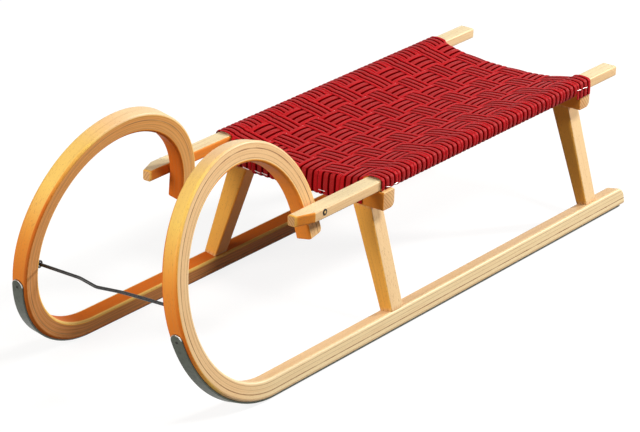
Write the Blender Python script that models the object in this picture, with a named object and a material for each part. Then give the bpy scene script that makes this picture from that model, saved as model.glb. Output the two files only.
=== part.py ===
"""Horn sled: two laminated runners that curl up and back into horns, steel shoes, splayed legs,
crossbars, seat rails, a seat woven from straps and a drawbar rod between the horns.
Metres, +Z up, the front at -Y. Each runner stands in a plane that leans inward by LEAN."""

import math

import bmesh
import bpy
from mathutils import Vector

GAP = 0.0003
SMOOTH_UP_TO = math.radians(40.0)

# Runners: TRACK is half the width over their outer lower edges
TRACK = 0.180
LEAN = math.radians(10.8)
RUNNER_WIDTH = 0.0261
RUNNER_HEIGHT = 0.0271
RUNNER_EDGE = 0.004
RUNNER_REAR = 0.547
REAR_ROUND = 0.012
BEND_START = -0.3696
LOW_RADIUS = 0.1625
LOW_ANGLE = math.radians(65.9)
FRONT_RADIUS = 0.1718
FRONT_ANGLE = math.radians(67.6)
TOP_RADIUS = 0.1541
TOP_ANGLE = math.radians(127.3)
TIP_LENGTH = 0.0342
TIP_HEIGHT = 0.0306
TIP_ROUND = 0.007
HORN_TOE_IN = 0.0168
HORN_LENGTH = LOW_RADIUS * LOW_ANGLE + FRONT_RADIUS * FRONT_ANGLE + TOP_RADIUS * TOP_ANGLE + TIP_LENGTH
BEND_STEP = math.radians(6.0)

# Steel shoes
SHOE_WIDTH = 0.019
SHOE_HEIGHT = 0.0025
SHOE_TOP = 0.1407
SHOE_SETBACK = 0.010

# Height of a runner's outer lower edge when the shoes stand on the ground
SOLE = (GAP + SHOE_HEIGHT) * math.cos(LEAN) + (RUNNER_WIDTH + SHOE_WIDTH) / 2 * math.sin(LEAN)

# Seat rails, whose inner faces meet the horns' tips
SEAT_HEIGHT = 0.2097
RAIL_WIDTH = 0.0258
RAIL_HEIGHT = 0.0164
RAIL_EDGE = 0.003
RAIL_REAR = 0.5463
RAIL_LEAD = 0.0623
RAIL_NOSE_WIDTH = 0.014
RAIL_NOSE_LENGTH = 0.0313
RAIL_BOTTOM = SOLE + SEAT_HEIGHT
RAIL_TOP = RAIL_BOTTOM + RAIL_HEIGHT
RAIL_INNER = TRACK - SEAT_HEIGHT * math.tan(LEAN) - HORN_TOE_IN / math.cos(LEAN) + GAP
RAIL_OUTER = RAIL_INNER + RAIL_WIDTH

# Crossbars under the rails
BAR_DEPTH = 0.0282
BAR_HEIGHT = 0.0282
BAR_EDGE = 0.0025
BAR_HEEL = 0.009
FRONT_STRAP_ROUND = 0.007
REAR_STRAP_ROUND = 0.014
BAR_STRAP_CLEAR = 0.002
BAR_ROUND_RUNOUT = 0.003
FRONT_BAR_FACE = -0.0942
FRONT_BAR_END = 0.0072
REAR_BAR_FACE = 0.4396
REAR_BAR_END = 0.0012
BAR_TOP = RAIL_BOTTOM - GAP
BAR_BOTTOM = BAR_TOP - BAR_HEIGHT

# Legs
LEG_DEPTH = 0.0295
LEG_EDGE = 0.0025
LEG_SETBACK = 0.0062
FRONT_FOOT_INSET = 0.001
FRONT_FOOT_WIDTH = 0.0216
FRONT_HEAD_WIDTH = 0.0331
FRONT_HEAD_COVER = 0.006
REAR_FOOT_INSET = 0.0055
REAR_FOOT_WIDTH = 0.0192
REAR_HEAD_WIDTH = 0.032
REAR_HEAD_COVER = 0.0005

# Woven seat
STRAP_THICK = 0.0018
STRAP_LIFT = 0.0011
STRAP_UNDER = 0.017
STRAP_HANG = 0.0063
TUCK = 0.0004
COLUMNS = 6
COLUMN_SIDE = 0.0027
COLUMN_SPACE = 0.004
COLUMN_PITCH = 2 * (RAIL_INNER - COLUMN_SIDE) / COLUMNS
COLUMN_WIDTH = COLUMN_PITCH - COLUMN_SPACE
ROWS = 14
ROW_SPACE = 0.0031
ROWS_FRONT = FRONT_BAR_FACE + 0.06 * BAR_DEPTH
ROWS_REAR = REAR_BAR_FACE + 0.92 * BAR_DEPTH
ROW_PITCH = (ROWS_REAR - ROWS_FRONT) / ROWS
ROW_WIDTH = ROW_PITCH - ROW_SPACE
SEAT_FREE = 0.0002
SEAT_DROP = 0.0011
SEAT_CROWN = 0.0015
SEAT_SIDE = 0.0022
END_CURVE = 2.6
MIDDLE_CURVE = 1.8
SEAT_LOW = BAR_TOP + GAP + STRAP_LIFT + STRAP_THICK / 2 + SEAT_FREE
DROOP_RADIUS = REAR_STRAP_ROUND + SEAT_LOW - BAR_TOP
DROOP_FROM = REAR_BAR_FACE + BAR_DEPTH - REAR_STRAP_ROUND
DROOP_TO = ROWS_REAR - ROW_SPACE / 2
SEAT_RISE = RAIL_TOP - SEAT_DROP - SEAT_LOW

# Drawbar rod and its screw eyes
ROD_RADIUS = 0.0024
ROD_HEIGHT = 0.160
ROD_RISE = 0.005
ROD_BEND = 0.0048
ROD_DIP = 0.0054
ROD_DIP_START = 0.055
ROD_DIP_LOW = 0.026
ROD_DIP_END = 0.020
ROD_HOOK = 0.0085
ROD_PAST_EYE = 0.0064
EYE_WIRE = 0.0015
EYE_RADIUS = 0.0045
EYE_SHANK = 0.0012
EYE_INSET = 0.0058
EYE_STEPS = 17
EYE_X = TRACK - ROD_HEIGHT * math.tan(LEAN) - RUNNER_WIDTH / math.cos(LEAN) + EYE_INSET
ROD_HALF = EYE_X + ROD_PAST_EYE


def material(name, colour, roughness, metallic=0.0):
    made = bpy.data.materials.new(name)
    made.use_nodes = True
    shader = made.node_tree.nodes["Principled BSDF"]
    shader.inputs["Base Color"].default_value = (*colour, 1.0)
    shader.inputs["Roughness"].default_value = roughness
    shader.inputs["Metallic"].default_value = metallic
    made.diffuse_color = (*colour, 1.0)
    return made


def wood(name):
    return material(name + "_beech", (0.78, 0.56, 0.31), 0.38)


def steel(name):
    return material(name + "_steel", (0.42, 0.43, 0.44), 0.35, 1.0)


def strap_red(name):
    return material(name + "_strap", (0.52, 0.012, 0.014), 0.62)


def add_object(name, data, look):
    data.materials.append(look(name))
    made = bpy.data.objects.new(name, data)
    bpy.context.scene.collection.objects.link(made)
    return made


def loft(name, rings, look):
    """Bridges rings of equally many points into one closed body with a flat cap at each end."""
    bm = bmesh.new()
    loops = []
    for ring in rings:
        spots = [bm.verts.new(p) for p in ring]
        loops.append([bm.edges.new((spots[k - 1], spots[k])) for k in range(len(spots))])
        if ring is rings[0] or ring is rings[-1]:
            bm.faces.new(spots)
    for one, two in zip(loops, loops[1:]):
        bmesh.ops.bridge_loops(bm, edges=one + two)
    bmesh.ops.recalc_face_normals(bm, faces=bm.faces)
    mesh = bpy.data.meshes.new(name)
    bm.to_mesh(mesh)
    bm.free()
    mesh.shade_smooth()
    mesh.set_sharp_from_angle(angle=SMOOTH_UP_TO)
    return add_object(name, mesh, look)


def wire(name, line, radius, look):
    """A round wire along the points, as a curve with a bevel and filled ends."""
    curve = bpy.data.curves.new(name, "CURVE")
    curve.dimensions = "3D"
    curve.bevel_depth = radius
    curve.bevel_resolution = 2
    curve.use_fill_caps = True
    spline = curve.splines.new("POLY")
    spline.points.add(len(line) - 1)
    for spot, p in zip(spline.points, line):
        spot.co = (*p, 1.0)
    return add_object(name, curve, look)


def rounded(u0, u1, v0, v1, radii, steps=2):
    """Points of a box from (u0, v0) to (u1, v1), its corners rounded, from low u and low v anticlockwise."""
    corners = ((u0, v0, 1, 1, 180), (u1, v0, -1, 1, 270), (u1, v1, -1, -1, 0), (u0, v1, 1, -1, 90))
    out = []
    for (u, v, su, sv, start), r in zip(corners, radii):
        for k in range(steps + 1):
            a = math.radians(start + 90 * k / steps)
            out.append((u + su * r + r * math.cos(a), v + sv * r + r * math.sin(a)))
    return out


def in_lean(side, y, h, n):
    """A point in a runner's leaning plane: h up the outer face, n outward from that face."""
    x = TRACK - h * math.sin(LEAN) + n * math.cos(LEAN)
    z = SOLE + h * math.cos(LEAN) + n * math.sin(LEAN)
    return Vector((side * x, y, z))


def runner_line():
    """Stations (y, h, heading, run) of a runner's middle line, from the rear end to the horn's tip.
    h is the height in the leaning plane, and run the length since the bend began."""
    h = RUNNER_HEIGHT / 2
    turns = [math.radians(a) for a in (90, 60, 30, 0)]
    stations = [(RUNNER_REAR - REAR_ROUND * (1 - math.sin(a)), h, 0.0, 0.0) for a in turns]
    y, heading, run = BEND_START, 0.0, 0.0
    stations.append((y, h, heading, run))
    bends = ((LOW_RADIUS, LOW_ANGLE), (FRONT_RADIUS, FRONT_ANGLE), (TOP_RADIUS, TOP_ANGLE))
    for radius, angle in bends:
        count = max(2, round(angle / BEND_STEP))
        step = angle / count
        chord = 2 * radius * math.sin(step / 2)
        for _ in range(count):
            y -= chord * math.cos(heading + step / 2)
            h += chord * math.sin(heading + step / 2)
            heading += step
            run += radius * step
            stations.append((y, h, heading, run))
    for a in reversed(turns):
        reach = TIP_LENGTH - TIP_ROUND * (1 - math.sin(a))
        spot = (y - reach * math.cos(heading), h + reach * math.sin(heading))
        stations.append((*spot, heading, run + reach))
    return stations


def runner_height(run):
    """The runner thins evenly from the bend's start to the horn's tip."""
    return RUNNER_HEIGHT + (TIP_HEIGHT - RUNNER_HEIGHT) * run / HORN_LENGTH


def quarter_round(radius, back):
    """How deep a rounded end cuts in, this far back from the end."""
    inside = min(1.0, max(0.0, 1 - back / radius))
    return radius * (1 - math.sqrt(1 - inside**2))


def toe_in(y, heading, front, tip):
    """The horn's shift toward the middle, which brings its tip inside the rail."""
    if heading < math.pi / 2:
        return 0.0
    return HORN_TOE_IN * max(0.0, (y - front) / (tip - front))


def runner(side, name):
    """A bent runner. Its upper edge is rounded at the rear end, and the horn's rear edge at the tip."""
    stations = runner_line()
    front = min(station[0] for station in stations)
    tip = stations[-1][0]
    rings = []
    for y, h, heading, run in stations:
        half = runner_height(run) / 2
        upper, lower = -half, half
        if run == 0.0:
            upper += quarter_round(REAR_ROUND, RUNNER_REAR - y)
        lower -= quarter_round(TIP_ROUND, HORN_LENGTH - run)
        shift = toe_in(y, heading, front, tip)
        ring = []
        for n, a in rounded(-RUNNER_WIDTH, 0.0, upper, lower, [RUNNER_EDGE] * 4):
            ring.append(in_lean(side, y - a * math.sin(heading), h - a * math.cos(heading), n - shift))
        rings.append(ring)
    return loft(name, rings, wood)


def front_station(h):
    """The station at this height on the runner's rising front."""
    stations = runner_line()
    for one, two in zip(stations, stations[1:]):
        if one[1] < h <= two[1]:
            share = (h - one[1]) / (two[1] - one[1])
            return tuple(a + (b - a) * share for a, b in zip(one, two))
    return stations[-1]


def shoe(side, name):
    """The steel strip under a runner, from near its rear end up the front of the horn, with a round top end."""
    top = front_station(SHOE_TOP)
    stations = [(RUNNER_REAR - SHOE_SETBACK, RUNNER_HEIGHT / 2, 0.0, 0.0)]
    stations += [s for s in runner_line() if s[0] <= BEND_START and s[3] < top[3] - SHOE_WIDTH / 4]
    stations.append(top)
    y, h, heading, run = top
    half = SHOE_WIDTH / 2
    reaches = [half] * len(stations)
    for degrees in (16, 32, 48, 64, 80):
        a = math.radians(degrees)
        ahead = half * math.sin(a)
        stations.append((y - ahead * math.cos(heading), h + ahead * math.sin(heading), heading, run))
        reaches.append(half * math.cos(a))
    rings = []
    for (y, h, heading, run), reach in zip(stations, reaches):
        near = runner_height(run) / 2 + GAP
        far = near + SHOE_HEIGHT
        ring = []
        for n, a in ((-reach, near), (reach, near), (reach, far), (-reach, far)):
            across = n - RUNNER_WIDTH / 2
            ring.append(in_lean(side, y - a * math.sin(heading), h - a * math.cos(heading), across))
        rings.append(ring)
    return loft(name, rings, steel)


def leg(side, bar_face, foot_inset, foot_width, head_cover, head_width, name):
    """A post that tapers down from under a crossbar to the runner's upper face."""
    face = bar_face + LEG_SETBACK
    out_n, in_n = -foot_inset, -foot_inset - foot_width
    head_inner = RAIL_INNER + head_cover - head_width
    foot, head = [], []
    for n, y in rounded(in_n, out_n, face, face + LEG_DEPTH, [LEG_EDGE] * 4):
        foot.append(in_lean(side, y, RUNNER_HEIGHT + GAP, n))
        share = (n - in_n) / (out_n - in_n)
        head.append(Vector((side * (head_inner + head_width * share), y, BAR_BOTTOM - GAP)))
    return loft(name, [foot, head], wood)


def crossbar(face, past_rail, strap_side, name):
    """A bar across the legs. Between the rails its upper edge on strap_side is rounder, for the straps."""
    half = RAIL_OUTER + past_rail
    near = RAIL_INNER - BAR_STRAP_CLEAR
    rings = []
    for x in (-half, -near - BAR_ROUND_RUNOUT, -near, near, near + BAR_ROUND_RUNOUT, half):
        strap_round = BAR_EDGE
        if abs(x) <= near:
            strap_round = FRONT_STRAP_ROUND if strap_side < 0 else REAR_STRAP_ROUND
        front_round, rear_round = (strap_round, BAR_EDGE) if strap_side < 0 else (BAR_EDGE, strap_round)
        radii = (BAR_EDGE, BAR_HEEL, rear_round, front_round)
        section = rounded(face, face + BAR_DEPTH, BAR_BOTTOM, BAR_TOP, radii, 3)
        rings.append([Vector((x, y, z)) for y, z in section])
    return loft(name, rings, wood)


def rail(side, name):
    """A seat rail whose front end, just ahead of the horn's tip, is cut back on its outer side."""
    front = runner_line()[-1][0] - RAIL_LEAD
    ends = (
        (front, RAIL_INNER + RAIL_NOSE_WIDTH),
        (front + RAIL_NOSE_LENGTH, RAIL_OUTER),
        (RAIL_REAR, RAIL_OUTER),
    )
    rings = []
    for y, outer in ends:
        section = rounded(RAIL_INNER, outer, RAIL_BOTTOM, RAIL_TOP, [RAIL_EDGE] * 4)
        rings.append([Vector((side * x, y, z)) for x, z in section])
    return loft(name, rings, wood)


def column_x(i):
    return (i - (COLUMNS - 1) / 2) * COLUMN_PITCH


def row_y(j):
    return ROWS_FRONT + (j + 0.5) * ROW_PITCH


def droop(y):
    """How far the straps have sunk over the rear bar's rounded edge."""
    behind = min(max(0.0, y - DROOP_FROM), DROOP_TO - DROOP_FROM)
    return DROOP_RADIUS - math.sqrt(DROOP_RADIUS**2 - behind**2)


def row_stations(j):
    """The lines along a row, as y, at which its section and the columns there may bend."""
    half = ROW_WIDTH / 2
    if j == ROWS - 1:
        return [row_y(j) - half, DROOP_FROM, row_y(j) + half]
    return [row_y(j) - half, row_y(j), row_y(j) + half]


def seat_z(x, y):
    """The seat's middle surface: low in the middle, up to the rails at the sides, a little higher at mid length."""
    along = min(1.0, max(0.0, (y - ROWS_FRONT) / (ROWS_REAR - ROWS_FRONT)))
    crown = math.sin(math.pi * along)
    power = END_CURVE + (MIDDLE_CURVE - END_CURVE) * crown
    aside = min(1.0, abs(x) / (RAIL_INNER - SEAT_SIDE)) ** power
    return SEAT_LOW + SEAT_CROWN * crown + SEAT_RISE * aside - droop(y)


def column_is_over(i, j):
    return (i - j) % 2 == 1


def arc(u, v, radius, start, end, steps=3):
    """(u, v, out_u, out_v) on an arc about (u, v), with its outward direction."""
    out = []
    for k in range(steps + 1):
        a = math.radians(start + (end - start) * k / steps)
        out.append((u + radius * math.cos(a), v + radius * math.sin(a), math.cos(a), math.sin(a)))
    return out


def row_wrap(j):
    """The right end of a row, from the rail's inner upper edge out, down and, clear of the bars, under the rail.
    The last row hangs down over the end of its bar."""
    off = GAP + STRAP_THICK / 2
    reach = RAIL_EDGE + off
    path = arc(RAIL_INNER + RAIL_EDGE, RAIL_TOP - RAIL_EDGE, reach + SEAT_FREE, 135, 90, 1)
    path += arc(RAIL_OUTER - RAIL_EDGE, RAIL_TOP - RAIL_EDGE, reach, 90, 0)
    if j == 0:
        path.append((RAIL_OUTER + off, RAIL_BOTTOM + RAIL_EDGE / 3, 1.0, 0.0))
        return path
    if j == ROWS - 1:
        out = RAIL_OUTER + REAR_BAR_END + off
        path += [(out, RAIL_BOTTOM + RAIL_EDGE, 1.0, 0.0), (out, BAR_TOP - STRAP_HANG, 1.0, 0.0)]
        return path
    path += arc(RAIL_OUTER - RAIL_EDGE, RAIL_BOTTOM + RAIL_EDGE, reach, 0, -90)
    path.append((RAIL_OUTER - STRAP_UNDER, RAIL_BOTTOM - off, 0.0, -1.0))
    return path


def row_strap(j, name):
    """A strap across the seat, over and under the columns, wrapped round both rails."""
    wrap = row_wrap(j)
    stations, t = row_stations(j), STRAP_THICK / 2
    path = [([z] * 3, -x, -nx, nz) for x, z, nx, nz in reversed(wrap)]
    for i in range(COLUMNS):
        lift = -STRAP_LIFT if column_is_over(i, j) else STRAP_LIFT
        for part in (-1, 0, 1):
            x = column_x(i) + part * (COLUMN_WIDTH / 2 + TUCK)
            path.append(([seat_z(x, y) + lift for y in stations], x, 0.0, 1.0))
    path += [([z] * 3, x, nx, nz) for x, z, nx, nz in wrap]
    rings = []
    for heights, x, nx, nz in path:
        low = [Vector((x - nx * t, y, z - nz * t)) for y, z in zip(stations, heights)]
        high = [Vector((x + nx * t, y, z + nz * t)) for y, z in zip(stations, heights)]
        rings.append(low + high[::-1])
    return loft(name, rings, strap_red)


def strap_on_bar(front):
    """Where a strap's middle lies on a bar's outer face."""
    off = GAP + STRAP_THICK / 2
    return FRONT_BAR_FACE - off if front else REAR_BAR_FACE + BAR_DEPTH + off


def column_over_bar(i, front):
    """How a column leaves the weave and turns over a bar's rounded edge: (y, rise, out_y, out_z).
    The rise is above the seat's middle surface."""
    sign = -1.0 if front else 1.0
    j = 0 if front else ROWS - 1
    lift = STRAP_LIFT if column_is_over(i, j) else -STRAP_LIFT
    y_start = row_y(j) + sign * (ROW_WIDTH / 2 + TUCK)
    turn_y = abs(strap_on_bar(front) - y_start)
    turn_z = FRONT_STRAP_ROUND + SEAT_FREE
    path = []
    for degrees in (25, 50, 70, 90):
        a = math.radians(degrees)
        y = y_start + sign * turn_y * math.sin(a)
        path.append((y, lift - turn_z * (1 - math.cos(a)), sign * math.sin(a), math.cos(a)))
    return path


def column_down_bar(i, front):
    """How a column runs down a bar's face and, clear of the legs, round under it: (y, z, out_y, out_z)."""
    sign = -1.0 if front else 1.0
    y_out = strap_on_bar(front)
    if i in (0, COLUMNS - 1):
        return [(y_out, BAR_BOTTOM + BAR_EDGE, sign, 0.0)]
    off = GAP + STRAP_THICK / 2
    heel = BAR_EDGE if front else BAR_HEEL
    reach = heel + off
    path = [(y_out, BAR_BOTTOM + heel, sign, 0.0)]
    for degrees in (30, 60, 90):
        a = math.radians(degrees)
        y = y_out - sign * reach * (1 - math.cos(a))
        path.append((y, BAR_BOTTOM + heel - reach * math.sin(a), sign * math.cos(a), -math.sin(a)))
    path.append((y_out - sign * (off + STRAP_UNDER), BAR_BOTTOM - off, 0.0, -1.0))
    return path


def column_strap(i, name):
    """A strap along the seat, over and under the rows, wrapped round both crossbars."""
    half, t = COLUMN_WIDTH / 2, STRAP_THICK / 2
    across = [column_x(i) + part * half for part in (-1, 0, 1)]

    def ring(y, z, ny, nz, on_seat):
        low = [Vector((x, y - ny * t, z - nz * t)) for x in across]
        high = [Vector((x, y + ny * t, z + nz * t)) for x in reversed(across)]
        if on_seat:
            for p in low + high:
                p.z += seat_z(p.x, y)
        return low + high

    rings = [ring(*station, False) for station in reversed(column_down_bar(i, True))]
    rings += [ring(*station, True) for station in reversed(column_over_bar(i, True))]
    for j in range(ROWS):
        lift = STRAP_LIFT if column_is_over(i, j) else -STRAP_LIFT
        for y, past in zip(row_stations(j), (-TUCK, 0.0, TUCK)):
            rings.append(ring(y + past, lift, 0.0, 1.0, True))
    rings += [ring(*station, True) for station in column_over_bar(i, False)]
    rings += [ring(*station, False) for station in column_down_bar(i, False)]
    return loft(name, rings, strap_red)


def horn_back():
    """How far forward the horn's concave face lies at the rod's height."""
    y, _, _, run = front_station(ROD_HEIGHT / math.cos(LEAN))
    return y + runner_height(run) / 2


def eye_y():
    return horn_back() + GAP + EYE_SHANK + EYE_RADIUS


def rod(name):
    """The rod from eye to eye: a small dip left of the middle and a hooked end past each eye."""
    rise, soft = ROD_RISE / 2, ROD_RADIUS
    end = []
    for degrees in (0, 30, 60, 90):
        a = math.radians(degrees)
        end.append((ROD_HALF - ROD_BEND * (1 - math.sin(a)), ROD_BEND * (1 - math.cos(a))))
    end.append((ROD_HALF, ROD_HOOK))
    left = [(-x, up - rise) for x, up in reversed(end)]
    right = [(x, up + rise) for x, up in end]
    down = ROD_DIP * soft / (ROD_DIP_START - ROD_DIP_LOW)
    back = ROD_DIP * soft / (ROD_DIP_LOW + ROD_DIP_END)
    dip = [(-ROD_DIP_START - soft, 0.0), (-ROD_DIP_START + soft, -down)]
    dip += [(-ROD_DIP_LOW - soft, down - ROD_DIP), (-ROD_DIP_LOW + soft, back - ROD_DIP), (ROD_DIP_END, 0.0)]
    points = left + [(x, up - rise) for x, up in dip] + right
    y = eye_y()
    return wire(name, [Vector((x, y, SOLE + ROD_HEIGHT + z)) for x, z in points], ROD_RADIUS, steel)


def eye(side, name):
    """A screw eye on the horn's concave face. The rod rests on the bottom of its ring."""
    rest = EYE_RADIUS - EYE_WIRE - ROD_RADIUS - GAP
    x, y, z = side * EYE_X, eye_y(), SOLE + ROD_HEIGHT + side * ROD_RISE / 2 + rest
    line = [Vector((x, y - EYE_RADIUS - EYE_SHANK, z))]
    open_turn = 2 * math.pi * (1 - 1 / (3 * EYE_STEPS))
    for k in range(EYE_STEPS):
        a = math.pi - open_turn * k / EYE_STEPS
        line.append(Vector((x, y + EYE_RADIUS * math.cos(a), z + EYE_RADIUS * math.sin(a))))
    return wire(name, line, EYE_WIRE, steel)


def clear_scene():
    for old in list(bpy.data.objects):
        bpy.data.objects.remove(old, do_unlink=True)


def main():
    clear_scene()
    made = []
    for side, tag in ((-1, "left"), (1, "right")):
        made.append(runner(side, "runner_" + tag))
        made.append(shoe(side, "shoe_" + tag))
        made.append(rail(side, "rail_" + tag))
        front = (FRONT_FOOT_INSET, FRONT_FOOT_WIDTH, FRONT_HEAD_COVER, FRONT_HEAD_WIDTH)
        rear = (REAR_FOOT_INSET, REAR_FOOT_WIDTH, REAR_HEAD_COVER, REAR_HEAD_WIDTH)
        made.append(leg(side, FRONT_BAR_FACE, *front, "leg_front_" + tag))
        made.append(leg(side, REAR_BAR_FACE, *rear, "leg_rear_" + tag))
        made.append(eye(side, "rod_eye_" + tag))
    made.append(crossbar(FRONT_BAR_FACE, FRONT_BAR_END, -1, "crossbar_front"))
    made.append(crossbar(REAR_BAR_FACE, REAR_BAR_END, 1, "crossbar_rear"))
    for i in range(COLUMNS):
        made.append(column_strap(i, f"strap_long_{i + 1}"))
    for j in range(ROWS):
        made.append(row_strap(j, f"strap_cross_{j + 1:02d}"))
    made.append(rod("drawbar_rod"))
    sled = bpy.data.objects.new("sled", None)
    bpy.context.scene.collection.objects.link(sled)
    for piece in made:
        piece.parent = sled


main()
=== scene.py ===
"""Horn sled: the fine shapes and finishes of its runners, seat, fittings and stage, laid out as an add-on.
Metres, +Z up, the front at -Y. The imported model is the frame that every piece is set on."""

import math

import bmesh
import bpy
from bpy.props import FloatProperty, FloatVectorProperty, IntProperty, PointerProperty
from mathutils import Matrix, Vector


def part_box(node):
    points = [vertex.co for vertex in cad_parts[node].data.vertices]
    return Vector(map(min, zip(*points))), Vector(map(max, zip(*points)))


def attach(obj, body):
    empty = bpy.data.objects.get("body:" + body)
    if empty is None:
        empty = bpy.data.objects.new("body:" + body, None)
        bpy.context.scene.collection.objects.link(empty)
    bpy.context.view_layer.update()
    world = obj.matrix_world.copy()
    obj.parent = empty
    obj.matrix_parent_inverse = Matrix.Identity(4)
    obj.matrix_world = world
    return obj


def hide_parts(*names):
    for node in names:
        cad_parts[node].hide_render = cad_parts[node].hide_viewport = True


bl_info = {
    "name": "Horn sled",
    "version": (1, 0, 0),
    "blender": (4, 5, 0),
    "location": "View3D > Sidebar > Sled",
    "description": "Dresses a horn sled: laminated runners, woven seat, steel fittings and a studio stage",
    "category": "Object",
}

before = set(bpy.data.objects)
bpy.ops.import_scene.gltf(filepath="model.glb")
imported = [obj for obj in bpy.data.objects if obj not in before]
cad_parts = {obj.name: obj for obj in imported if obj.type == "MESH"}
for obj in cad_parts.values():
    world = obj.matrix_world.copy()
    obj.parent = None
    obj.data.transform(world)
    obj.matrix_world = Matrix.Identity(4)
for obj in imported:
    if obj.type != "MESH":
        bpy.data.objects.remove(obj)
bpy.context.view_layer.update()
PHOTO_WIDTH, PHOTO_HEIGHT = 640, 432

SIDES = ((-1, "left"), (1, "right"))
ENDS = ("front", "rear")
QUARTER = math.radians(90)

# Room between pieces that touch
GAP = 0.0003

# Rounded edges of rails, crossbars and posts. The straps run over a crossbar's outer upper edge, and its
# heel is its rear lower edge.
RAIL_EDGE, RAIL_END_EDGE = 0.0030, 0.0016
BAR_EDGE, BAR_END_EDGE, BAR_HEEL = 0.0025, 0.0014, 0.009
STRAP_EDGE = {"front": 0.007, "rear": 0.014}
POST_EDGE = 0.0025

# The least that a long edge is rounded beside a sawn end, and how much of it takes the tone of its face
LEAST_EDGE, RUNNER_LEAST_EDGE = 0.0005, 0.0006
EDGE_SHARE, RUNNER_EDGE_SHARE = 0.6, 0.8

# Tones from 0, cream, to 1, deep: lacquer tone with painted light and shade, pale where a face is lit and
# deep on fronts, hollows, inner sides and under the seat, where shade falls. A runner's are (degrees turned,
# tone) from the ground round to the tip.
FRONT_SHADE_TONES = (
    (0, 0.85), (66, 0.95), (84, 0.92), (98, 0.84), (112, 0.66), (128, 0.48), (150, 0.44), (182, 0.12),
    (215, 0.15), (260, 0.45),
)
# Painted shade: the left runner's hollow and upper side stay deep all along, in the seat's shadow.
HOLLOW_SHADE_TONES = {
    -1: ((0, 1.0), (260, 1.0)),
    1: ((0, 0.20), (60, 0.28), (140, 0.95), (260, 0.88)),
}
# Painted light and shade: outer sides pale where lit, inner sides deep where shaded, with some lacquer tone.
SIDE_SHADE_TONES = {
    "outer": ((0, 0.02), (30, 0.18), (180, 0.22), (260, 0.28)),
    "inner": ((0, 0.90), (80, 0.84), (150, 0.76), (260, 0.68)),
}
# Painted light and shade by face: pale tops where lit, and deeper ends, cuts, fronts, undersides and faces
# between the horns, where shade falls.
RAIL_SHADE_TONES = {
    "end": 0.62, "cut": 0.85, "outer": 0.20, "inner": 0.12, "between horns": 0.92, "top": 0.0, "under": 0.7,
}
BAR_SHADE_TONES = {"front and under": 0.80, "rest": 0.30}
POST_SHADE_TONES = {"front": 0.66, "inner": 0.80, "rest": 0.16}


def length(name, description, default):
    return FloatProperty(name=name, description=description, default=default, unit="LENGTH", precision=5)


def angle(name, description, degrees):
    return FloatProperty(
        name=name, description=description, default=math.radians(degrees), subtype="ANGLE"
    )


def colour(name, description, default):
    return FloatVectorProperty(
        name=name, description=description, default=default, subtype="COLOR", size=3, min=0.0, max=1.0
    )


def share(name, description, default):
    return FloatProperty(name=name, description=description, default=default, min=0.0, soft_max=1.0)


def power(name, description, default):
    return FloatProperty(name=name, description=description, default=default, min=0.0)


class RunnerSizes(bpy.types.PropertyGroup):
    """Sizes of the two bent runners and their steel shoes"""

    track: length("Half track", "From the middle to a runner's outer lower edge", 0.180)
    lean: angle("Lean", "How far each runner leans toward the middle", 10.8)
    width: length("Width", "Across a runner", 0.0261)
    height: length("Height", "Depth of the laminations along the ground", 0.0271)
    tip_height: length("Tip height", "Depth of the laminations at the horn's tip", 0.0306)
    edge: length("Edge", "Rounding of the long edges", 0.004)
    end_edge: length("End edge", "Rounding of the sawn ends' edges", 0.0013)
    rear_round: length("Rear round", "Rounding of the rear end's upper edge", 0.012)
    tip_round: length("Tip round", "Rounding of the horn tip's rear edge", 0.007)
    bend_start: length("Bend start", "Where the runner leaves the ground", -0.3696)
    low_radius: length("Low radius", "First bend, up from the ground", 0.1625)
    low_angle: angle("Low angle", "Turn of the first bend", 65.9)
    front_radius: length("Front radius", "Second bend, up the front of the horn", 0.1718)
    front_angle: angle("Front angle", "Turn of the second bend", 67.6)
    top_radius: length("Top radius", "Third bend, over the top and back", 0.1541)
    top_angle: angle("Top angle", "Turn of the third bend", 127.3)
    tip_length: length("Tip length", "Straight end of the horn", 0.0342)
    toe_in: length("Toe in", "How far the horn's tip comes toward the middle", 0.0168)
    shoe_width: length("Shoe width", "Across the steel shoe", 0.019)
    shoe_height: length("Shoe thickness", "Thickness of the steel shoe", 0.0025)
    shoe_top: length("Shoe top", "Height at which the shoe's round top end begins", 0.1407)
    shoe_setback: length("Shoe setback", "From the runner's rear end to the shoe's", 0.010)
    shoe_edge: length("Shoe edge", "Rounding of the shoe's outer edges", 0.0008)


class SeatSizes(bpy.types.PropertyGroup):
    """Sizes of the woven seat"""

    columns: IntProperty(name="Long straps", description="Straps along the seat", default=6, min=1)
    rows: IntProperty(name="Cross straps", description="Straps across the seat", default=14, min=1)
    side: length("Side", "From a rail to the nearest long strap's edge", 0.0027)
    column_space: length("Long strap space", "Between two long straps", 0.0007)
    row_space: length("Cross strap space", "Between two cross straps", 0.0007)
    wave: length("Wave", "How far a strap's middle swings over and under", 0.0014)
    crest: share("Crest", "How round the straps run between their dips, from 0, square, to 1", 0.62)
    rib: length("Rib", "Half the strap's thickness at a rib", 0.0012)
    groove: length("Groove", "Half the strap's thickness in a groove", 0.0003)
    selvedge: length("Selvedge", "Half the strap's thickness at its edge", 0.0004)
    groove_place: share("Groove place", "The outer grooves' place, as a share of half the width", 0.58)
    groove_width: length("Groove width", "Across a groove", 0.0028)
    drop: length("Drop", "From the rails' top to the seat's edge", 0.0011)
    crown: length("Crown", "Rise of the seat at mid length", 0.0015)
    slack: length("Slack", "From the rails to where the dish begins", 0.0022)
    end_curve: share("End curve", "How late the dish rises at the seat's ends", 2.6)
    middle_curve: share("Middle curve", "How late the dish rises at mid length", 1.8)
    base: length("Base", "The seat's middle surface above the crossbars", 0.0025)
    bulge: length("Bulge", "How far the straps stand off the rails' flats", 0.0016)
    hang: length("Hang", "How far the last cross strap hangs down the rear crossbar's end", 0.0063)
    under: length("Under", "How far a strap runs on under a rail or crossbar", 0.017)


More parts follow.
